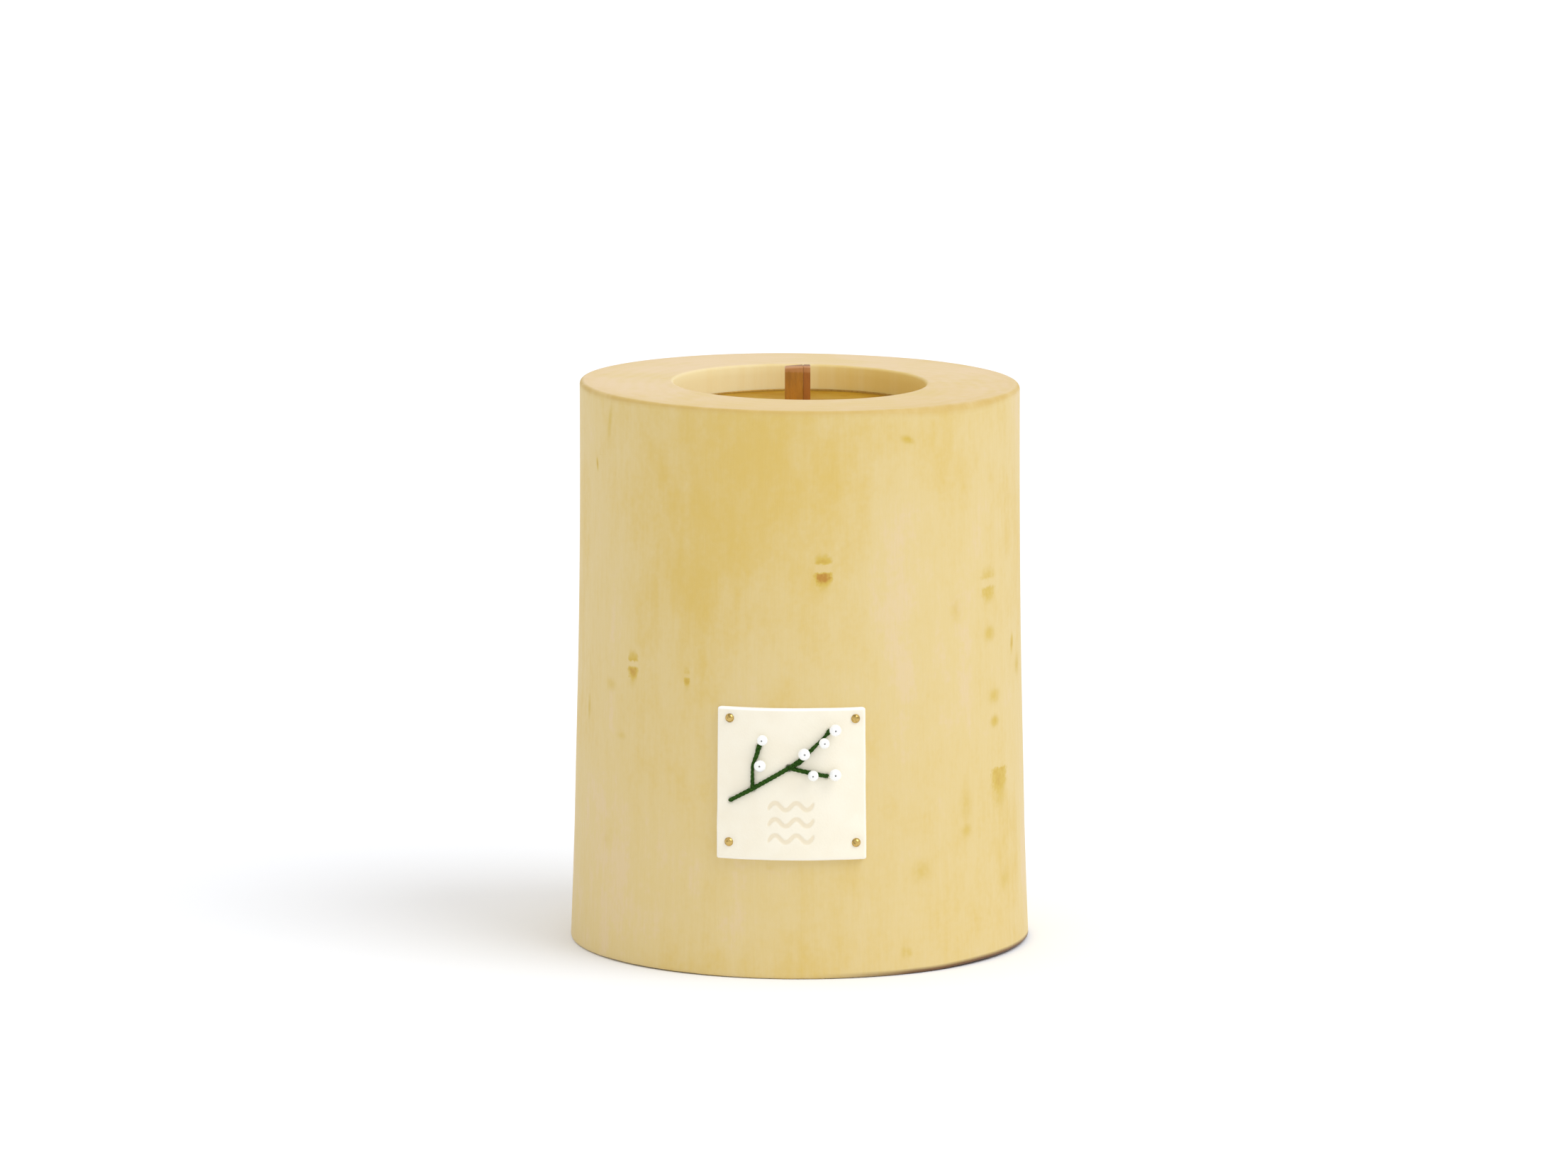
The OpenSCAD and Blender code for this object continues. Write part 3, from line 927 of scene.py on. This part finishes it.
class LOGCANDLE_OT_plaque(bpy.types.Operator):
    """Build the leather plaque, bent round the log, with its pressed wavy lines"""
    bl_idname = "logcandle.plaque"
    bl_label = "Leather plaque"

    def execute(self, context):
        s = context.scene.log_candle_plaque
        n = s.cells
        half = PLAQUE_SIDE / 2
        first_row, row_gap = -5.1, 3.8
        rows = [(first_row - row_gap * k) * MM for k in range(3)]
        edge_wander, face_wave, back_gap = 0.07 * MM, 0.05 * MM, 0.03 * MM
        pins = [pin_place(node) for node in PINS]
        ends = [Vector(p[:2]) * MM for path in STITCHES.values() for p in (path[0], path[-1])]
        # Dents round the pins and the stitches' ends: their places, depth, and outer and inner reach
        dents = ((pins, 0.12 * MM, 2.4 * MM, 1.0 * MM), (ends, 0.3 * MM, 1.0 * MM, 0.3 * MM))

        def spread(i):
            """Cells crowd towards the edge, where the rounding is."""
            t = 2 * i / n - 1
            return half * (0.93 * t + 0.07 * t ** 9)

        def outline(u, v):
            """A place moved inside the rounded and slightly uneven outline."""
            wander = edge_wander * noise.noise(Vector((u * 150, v * 150, 2)))
            scale = 1 + wander / half
            limit = half - s.corner
            over = Vector((max(abs(u) - limit, 0), max(abs(v) - limit, 0)))
            if over.x > 0 and over.y > 0:
                longest = max(over.x, over.y)
                over *= longest / over.length
                u = math.copysign(limit + over.x, u)
                v = math.copysign(limit + over.y, v)
            return u * scale, v * scale

        def height(u, v):
            """The face's height over the log and how far it is pressed there."""
            rim = min(half - abs(u), half - abs(v))
            top = s.thickness
            if rim < s.edge:
                drop = 1 - max(rim, 0) / s.edge
                top -= 0.75 * s.edge * (0.75 * drop + 0.25 * drop ** 6)
            pressed = max(wavy_line(u, v, row, s) for row in rows)
            top -= s.motif_depth * pressed
            for places, depth, wide, narrow in dents:
                for at_u, at_v in places:
                    top -= depth * smooth(wide, narrow, math.hypot(u - at_u, v - at_v))
            top += face_wave * noise.noise(Vector((u * 120, v * 120, 9)))
            return top, pressed

        points, pressed_at, cut_edge_and_highlight_at = [], [], []
        for j in range(n + 1):
            for i in range(n + 1):
                u, v = spread(i), spread(j)
                top, pressed = height(u, v)
                points.append(plaque_point(*outline(u, v), top))
                pressed_at.append(pressed)
                # The top edge is fully whitened, a painted highlight where light from above falls; the
                # other edges get 0.35 of it as whiter cut leather
                rim = smooth(s.edge * 1.1, s.edge * 0.7, min(half - abs(u), half - abs(v)))
                cut_edge_and_highlight_at.append(rim if half - v < s.edge * 1.5 else 0.35 * rim)
        back_start = len(points)
        for j in range(n + 1):
            for i in range(n + 1):
                points.append(plaque_point(*outline(spread(i), spread(j)), back_gap))
                pressed_at.append(0.0)
                cut_edge_and_highlight_at.append(1.0)

        faces = []
        wide = n + 1
        for j in range(n):
            for i in range(n):
                a = j * wide + i
                quad = (a, a + 1, a + wide + 1, a + wide)
                faces.append(quad)
                faces.append(tuple(back_start + k for k in reversed(quad)))
        border = ([i for i in range(n)] + [j * wide + n for j in range(n)]
                  + [n * wide + i for i in range(n, 0, -1)] + [j * wide for j in range(n, 0, -1)])
        for k, a in enumerate(border):
            b = border[(k + 1) % len(border)]
            faces.append((back_start + a, back_start + b, b, a))
        made = piece("plaque", points, faces, sharp_angle=55)
        point_layers(made.data, pressed=pressed_at, cut=cut_edge_and_highlight_at)
        settle(made, "holder", ["leather_plaque"], white_leather(s))
        return {"FINISHED"}


# ---------------------------------------------------------------- repeated pieces by geometry nodes


def geometry_tree(name, inputs):
    """An empty geometry node tree with a geometry input first, its net and its two end nodes."""
    tree = bpy.data.node_groups.new(name, "GeometryNodeTree")
    tree.interface.new_socket("Geometry", in_out="INPUT", socket_type="NodeSocketGeometry")
    for label, kind in inputs.items():
        tree.interface.new_socket(label, in_out="INPUT", socket_type="NodeSocket" + kind)
    tree.interface.new_socket("Geometry", in_out="OUTPUT", socket_type="NodeSocketGeometry")
    net = Net(tree)
    return tree, net, net.put("NodeGroupInput").outputs, net.put("NodeGroupOutput").inputs


def finish_tree(net, geometry, given, out):
    """Ends a tree: its instances become real and take the finish that it was given."""
    real = net.put("GeometryNodeRealizeInstances", {"Geometry": geometry})
    done = net.put("GeometryNodeSetMaterial", {"Geometry": real.outputs[0], "Material": given["Finish"]})
    net.feed(out["Geometry"], done.outputs[0])


def grown(name, seed, tree, **values):
    """Runs a geometry node tree on a seed object and returns the plain mesh object that it grows."""
    modifier = seed.modifiers.new(name, "NODES")
    modifier.node_group = tree
    for item in tree.interface.items_tree:
        key = item.name.replace(" ", "_")
        if item.in_out == "INPUT" and key in values:
            modifier[item.identifier] = values[key]
    bpy.context.view_layer.update()
    graph = bpy.context.evaluated_depsgraph_get()
    mesh = bpy.data.meshes.new_from_object(seed.evaluated_get(graph))
    mesh.name = name
    seed.modifiers.remove(modifier)
    bpy.data.objects.remove(seed)
    return linked(name, mesh)


def seed_points(name, places, normals, sizes):
    """Loose points that carry a normal and a size for what stands on them."""
    mesh = bpy.data.meshes.new(name)
    mesh.from_pydata(places, [], [])
    point_layers(mesh, out=normals, size=sizes)
    return linked(name, mesh)


def scatter_tree():
    """Stands one object on each point, along its normal and at its size."""
    tree, net, given, out = geometry_tree("Stand on points", {"Piece": "Object", "Finish": "Material"})
    source = net.put("GeometryNodeObjectInfo", {"Object": given["Piece"]})
    normal = net.put("GeometryNodeInputNamedAttribute", {"Name": "out"},
                     data_type="FLOAT_VECTOR").outputs[0]
    size = net.put("GeometryNodeInputNamedAttribute", {"Name": "size"}, data_type="FLOAT").outputs[0]
    turn = net.put("FunctionNodeAlignRotationToVector", {"Vector": normal}, axis="Z").outputs[0]
    placed = net.put("GeometryNodeInstanceOnPoints", {"Points": given["Geometry"],
                                                      "Instance": source.outputs["Geometry"],
                                                      "Rotation": turn, "Scale": size})
    finish_tree(net, placed.outputs[0], given, out)
    return tree


def thread_tree():
    """Twists strands round each curve: plies of a thread, along its path."""
    tree, net, given, out = geometry_tree("Twisted thread", {
        "Cord": "Float", "Twist": "Float", "Plies": "Int", "Finish": "Material"})
    fine = net.put("GeometryNodeResampleCurve", {"Curve": given["Geometry"], "Length": 0.12 * MM},
                   mode="LENGTH")
    copies = net.put("GeometryNodeDuplicateElements", {"Geometry": fine.outputs[0],
                                                       "Amount": given["Plies"]}, domain="SPLINE")
    along = net.put("GeometryNodeSplineParameter").outputs["Length"]
    share = net.maths("DIVIDE", copies.outputs["Duplicate Index"], given["Plies"])
    phase = net.times(net.plus(net.maths("DIVIDE", along, given["Twist"]), share),
                      2 * math.pi)
    normal = net.put("GeometryNodeInputNormal").outputs[0]
    tangent = net.put("GeometryNodeInputTangent").outputs[0]
    across = net.vector("CROSS_PRODUCT", tangent, normal)
    swing = net.vector("ADD", net.vector("SCALE", normal, scale=net.maths("COSINE", phase)),
                       net.vector("SCALE", across, scale=net.maths("SINE", phase)))
    thickness = net.put("GeometryNodeInputRadius").outputs[0]
    # As shares of the cord: how far a strand runs from its middle, and the strand's radius
    strand_off, strand_radius = 0.22, 0.29
    reach = net.times(net.times(given["Cord"], strand_off), thickness)
    moved = net.put("GeometryNodeSetPosition", {"Geometry": copies.outputs[0],
                                                "Offset": net.vector("SCALE", swing, scale=reach)})
    section = net.put("GeometryNodeCurvePrimitiveCircle", {
        "Resolution": 12, "Radius": net.times(given["Cord"], strand_radius)})
    mesh = net.put("GeometryNodeCurveToMesh", {
        "Curve": moved.outputs[0], "Profile Curve": section.outputs[0], "Scale": thickness,
        "Fill Caps": True})
    finish_tree(net, mesh.outputs[0], given, out)
    return tree


class LOGCANDLE_OT_pins(bpy.types.Operator):
    """Drive the four brass pins through the plaque's corners"""
    bl_idname = "logcandle.pins"
    bl_label = "Brass pins"

    def execute(self, context):
        s = context.scene.log_candle_pins
        length_in, point_length = 10 * MM, 1.5 * MM
        r, h, shank = s.head / 2, s.head_height, s.shank / 2
        dome_r = (r * r + h * h) / (2 * h)
        sweep = math.degrees(math.asin(min(1, r / dome_r)))
        profile = [(0.05 * MM, -length_in), (shank, -length_in + point_length),
                   (shank, -0.2 * MM), (shank, 0.0)]
        profile += [(r - 0.12 * MM, 0.0), (r, 0.05 * MM)]
        profile += arc(0, h - dome_r, dome_r, 90 - sweep + 8, 88, 9)
        pin = turned("pin", profile, count=40)
        places, normals = [], []
        for node in PINS:
            u, v = pin_place(node)
            foot = plaque_point(u, v)
            spot = plaque_point(u, v, context.scene.log_candle_plaque.thickness - 0.1 * MM)
            places.append(spot)
            normals.append((spot - foot).normalized())
        seeds = seed_points("pin_places", places, normals, [1.0] * len(places))
        # The pins' strong dark spots are painted reflection, for dark surroundings mirrored in the polished
        # heads
        finish = sheet_metal("pin_brass", s.metal, 0.22, 0.9, 0.9)
        made = grown("pins", seeds, scatter_tree(), Piece=pin, Finish=finish)
        bpy.data.objects.remove(pin)
        settle(made, "holder", PINS, finish)
        return {"FINISHED"}


class LOGCANDLE_OT_sprig(bpy.types.Operator):
    """Stitch the green sprig on the plaque"""
    bl_idname = "logcandle.sprig"
    bl_label = "Stitched sprig"

    def execute(self, context):
        s = context.scene.log_candle_sprig
        skin = context.scene.log_candle_plaque.thickness
        finish = green_thread(s)
        tree = thread_tree()
        for node, path in STITCHES.items():
            curve = bpy.data.curves.new(node, "CURVE")
            curve.dimensions = "3D"
            route = thread_route(path, skin, s.cord)
            spline = curve.splines.new("POLY")
            spline.points.add(len(route) - 1)
            for point, (place, thickness) in zip(spline.points, route):
                point.co = (*place, 1)
                point.radius = thickness
            made = grown(node.replace("stem", "thread"), linked(node + "_path", curve), tree,
                         Cord=s.cord, Twist=s.twist, Plies=s.plies, Finish=finish)
            made.data.shade_smooth()
            settle(made, "holder", [node], finish)
        return {"FINISHED"}


def thread_route(path, skin, cord):
    """Points and thicknesses of one stitch: up through the leather, along its face and down again."""
    corners = [Vector(p[:2]) * MM for p in path]
    legs = [(b - a).length for a, b in zip(corners, corners[1:])]
    total = sum(legs)
    steps = max(8, round(total / (0.25 * MM)))
    route = []
    for i in range(steps + 1):
        run = total * i / steps
        left = run
        for k, leg in enumerate(legs):
            share = min(1, left / leg)
            if left <= leg or k == len(legs) - 1:
                break
            left -= leg
        spot = corners[k].lerp(corners[k + 1], share)
        thickness = path[k][2] + (path[k + 1][2] - path[k][2]) * smooth(0, 1, share)
        from_end = min(run, total - run)
        height = cord * (-0.5 + 0.98 * math.sqrt(smooth(0, 0.75 * cord, from_end + 0.05 * cord)))
        route.append((plaque_point(spot.x, spot.y, skin + height), thickness))
    return route


class LOGCANDLE_OT_beads(bpy.types.Operator):
    """Sew the seven white beads on the sprig"""
    bl_idname = "logcandle.beads"
    bl_label = "White beads"

    def execute(self, context):
        s = context.scene.log_candle_sprig
        hole, lip, tip_range = 0.07, 0.05, 0.18
        profile = [(hole, -0.40)] + arc(0, 0, 0.5, -68, 68, 14)
        profile += [(hole + lip * 0.6, 0.462), (hole + lip * 0.1, 0.43), (hole, 0.38), (hole * 0.9, 0.1)]
        bead = turned("bead", profile, count=40)
        places, normals, sizes = [], [], []
        for node in BEADS:
            low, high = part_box(node)
            centre = middle(node)
            tip = tip_range * (centre.x * 1000 % 1 - 0.5)
            normal = log_normal(turn_of(centre), centre.z)
            places.append(centre)
            normals.append((normal + Vector((tip, 0, tip * 0.7))).normalized())
            sizes.append(high.z - low.z)
        seeds = seed_points("bead_places", places, normals, sizes)
        finish = white_bead(s)
        made = grown("beads", seeds, scatter_tree(), Piece=bead, Finish=finish)
        bpy.data.objects.remove(bead)
        settle(made, "holder", BEADS, finish)
        return {"FINISHED"}


class LOGCANDLE_OT_candle(bpy.types.Operator):
    """Build the wax candle in its metal cup"""
    bl_idname = "logcandle.candle"
    bl_label = "Candle and cup"

    def execute(self, context):
        s = context.scene.log_candle_candle
        outer = CUP_R
        inner = outer - s.wall
        foot, top = CUP_LOW.z, CUP_HIGH.z
        profile = [(outer * 0.5, foot), (outer - 1.2 * MM, foot)]
        profile += arc(outer - 1.0 * MM, foot + 1.0 * MM, 1.0 * MM, -80, 0, 5)
        profile += arc(outer - s.wall / 2, top - s.wall / 2, s.wall / 2, 0, 180, 6)
        profile += [(inner, foot + s.wall + 0.6 * MM), (inner - 0.6 * MM, foot + s.wall),
                    (inner * 0.5, foot + s.wall)]
        count = 180
        cup = turned("cup", profile, count)
        finish = sheet_metal("cup_lacquer", s.lacquer, 0.5, 0.8, 0.15)
        settle(cup, "candle", ["candle_cup"], finish)

        wax_r = inner - 0.02 * MM
        low, high = WAX_LOW.z, WAX_HIGH.z
        rings = [ring(wax_r * share, low, count) for share in (0.4, 0.97)]
        rings += [ring(wax_r, z, count) for z in (low + 1.0 * MM, (low + high) / 2, high + 0.12 * MM)]
        wick_x, wick_y = (STRIP_LOW.x + BOOSTER_HIGH.x) / 2, (STRIP_LOW.y + STRIP_HIGH.y) / 2
        half_wide, half_thick = 3.0 * MM, 0.75 * MM
        top_steps = 40
        for i in range(1, top_steps):
            share = 1 - i / top_steps
            centre = (wick_x * (1 - share), wick_y * (1 - share))
            points = []
            for p in ring(wax_r * share, high, count, centre):
                gap = wax_r - p.xy.length
                to_wick = math.hypot(max(abs(p.x - wick_x) - half_wide, 0),
                                     max(abs(p.y - wick_y) - half_thick, 0))
                at_wall = 0.12 * MM * math.exp(-gap / (0.7 * MM))
                at_wick = 0.35 * MM * math.exp(-to_wick / (0.8 * MM))
                sink = 0.10 * MM * noise.noise(Vector((p.x * 70, p.y * 70, 1)))
                points.append(Vector((p.x, p.y, high + (at_wall + at_wick) + sink)))
            rings.append(points)
        wax = piece("wax", *loft(rings))
        settle(wax, "candle", ["candle_wax"], beeswax(s))
        return {"FINISHED"}


class LOGCANDLE_OT_wick(bpy.types.Operator):
    """Build the wooden wick's two strips and the steel clip that holds them"""
    bl_idname = "logcandle.wick"
    bl_label = "Wick and clip"

    def execute(self, context):
        s = context.scene.log_candle_candle
        strips = (("wick_main", "wick_strip", STRIP_LOW, STRIP_HIGH, "wick_wood", s.strip),
                  ("wick_side", "wick_booster", BOOSTER_LOW, BOOSTER_HIGH, "wick_wood_dark", s.booster))
        for name, node, low, high, slot, tone in strips:
            made = strip(name, low, high)
            settle(made, "candle", [node], wick_wood(slot, tone, s.tip))

        sheet, bevel = 0.4 * MM, 0.1 * MM
        plate = block(CLIP_LOW, Vector((CLIP_HIGH.x, CLIP_HIGH.y, CLIP_LOW.z + sheet)), bevel, "clip")
        form = bmesh.new()
        form.from_mesh(plate.data)
        for side in (-1, 1):
            near = STRIP_HIGH.y + 0.02 * MM if side > 0 else STRIP_LOW.y - 0.42 * MM
            low = Vector((STRIP_LOW.x, near, CLIP_LOW.z + 0.35 * MM))
            high = Vector((BOOSTER_HIGH.x, near + sheet, CLIP_HIGH.z))
            jaw = block(low, high, bevel, "jaw")
            form.from_mesh(jaw.data)
            bpy.data.objects.remove(jaw)
        form.to_mesh(plate.data)
        form.free()
        finish = sheet_metal("clip_steel", s.clip, 0.35, 0.3, 0.15)
        settle(plate, "candle", ["wick_clip"], finish)
        return {"FINISHED"}


def strip(name, low, high):
    """A flat wick strip with softened edges, its torn top lower at the front and at its left corner."""
    form = box_form(low, high, 0.22 * MM, 3, 0.5)
    slices = 60
    for k in range(1, slices):
        z = low.z + (high.z - low.z) * k / slices
        bmesh.ops.bisect_plane(form, geom=form.verts[:] + form.edges[:] + form.faces[:],
                               plane_co=(0, 0, z), plane_no=(0, 0, 1))
    for vertex in form.verts:
        place = vertex.co
        near_top = smooth(high.z - 1.2 * MM, high.z, place.z)
        front = (high.y - place.y) / (high.y - low.y)
        torn = 0.14 * noise.noise(Vector((place.x * 1400, place.y * 300, 3)))
        corner = 0.35 * smooth(STRIP_LOW.x + 0.9 * MM, STRIP_LOW.x, place.x)
        place.z -= near_top * (0.5 * front + abs(torn) + corner) * MM
        place.y += 0.05 * MM * noise.noise(Vector((place.x * 300, 1, place.z * 220)))
    form.normal_update()
    return shaped(name, form)


# ---------------------------------------------------------------- stage


class LOGCANDLE_OT_stage(bpy.types.Operator):
    """Set the pale floor, the soft lights and the camera"""
    bl_idname = "logcandle.stage"
    bl_label = "Stage"

    def execute(self, context):
        s = context.scene.log_candle_stage
        scene = context.scene
        scene.view_settings.view_transform = "Standard"
        floor = piece("floor", [(-8, -8, 0), (8, -8, 0), (8, 8, 0), (-8, 8, 0)], [(0, 1, 2, 3)])
        finish, net, shader, place = material("floor_white")
        haze = net.noise(net.vector("SCALE", place, scale=0.004), 1.0, 2.0)
        net.fill(shader, {"Base Color": net.mix(haze, (0.95, 0.96, 0.99), (0.94, 0.95, 0.98)),
                          "Roughness": 0.9, "Specular IOR Level": 0.0})
        floor.data.materials.append(finish)

        world = bpy.data.worlds.new("white_room")
        world.use_nodes = True
        Net(world.node_tree).fill(world.node_tree.nodes["Background"],
                                  {"Color": (1.0, 1.0, 1.0, 1.0), "Strength": s.fill})
        scene.world = world

        light = bpy.data.lights.new("window", "SUN")
        light.energy = s.key
        light.angle = math.radians(42)
        light.color = (0.96, 0.99, 1.0)
        towards = Vector((0.9, -0.5, 1.22))
        linked("window", light).rotation_euler = towards.to_track_quat("Z", "Y").to_euler()

        camera = bpy.data.cameras.new("camera")
        camera.lens = s.lens
        camera.sensor_width = 36
        camera.clip_start, camera.clip_end = 0.05, 50
        eye = linked("camera", camera)
        eye.location = (s.aside, -s.distance, s.height)
        eye.rotation_euler = (math.pi / 2 - s.pitch, 0, 0)
        scene.camera = eye
        return {"FINISHED"}


# ---------------------------------------------------------------- panel and registration

OPERATORS = (LOGCANDLE_OT_stage, LOGCANDLE_OT_log, LOGCANDLE_OT_plaque, LOGCANDLE_OT_pins,
             LOGCANDLE_OT_sprig, LOGCANDLE_OT_beads, LOGCANDLE_OT_candle, LOGCANDLE_OT_wick)
SETTINGS = {"log_candle_log": LogSettings, "log_candle_plaque": PlaqueSettings,
            "log_candle_sprig": SprigSettings, "log_candle_pins": PinSettings,
            "log_candle_candle": CandleSettings, "log_candle_stage": StageSettings}


class LOGCANDLE_PT_pieces(bpy.types.Panel):
    """Lists the pieces of the log candle holder"""
    bl_label = "Log Candle"
    bl_space_type = "VIEW_3D"
    bl_region_type = "UI"
    bl_category = "Log Candle"

    def draw(self, context):
        for operator in OPERATORS:
            self.layout.operator(operator.bl_idname)
        for name, group in SETTINGS.items():
            box = self.layout.box()
            for prop in group.__annotations__:
                box.prop(getattr(context.scene, name), prop)


def register():
    for name, group in SETTINGS.items():
        bpy.utils.register_class(group)
        setattr(bpy.types.Scene, name, PointerProperty(type=group))
    for operator in OPERATORS:
        bpy.utils.register_class(operator)
    bpy.utils.register_class(LOGCANDLE_PT_pieces)


def unregister():
    bpy.utils.unregister_class(LOGCANDLE_PT_pieces)
    for operator in reversed(OPERATORS):
        bpy.utils.unregister_class(operator)
    for name, group in SETTINGS.items():
        delattr(bpy.types.Scene, name)
        bpy.utils.unregister_class(group)


def main():
    register()
    for operator in OPERATORS:
        family, name = operator.bl_idname.split(".")
        getattr(getattr(bpy.ops, family), name)()


if __name__ == "__main__":
    main()
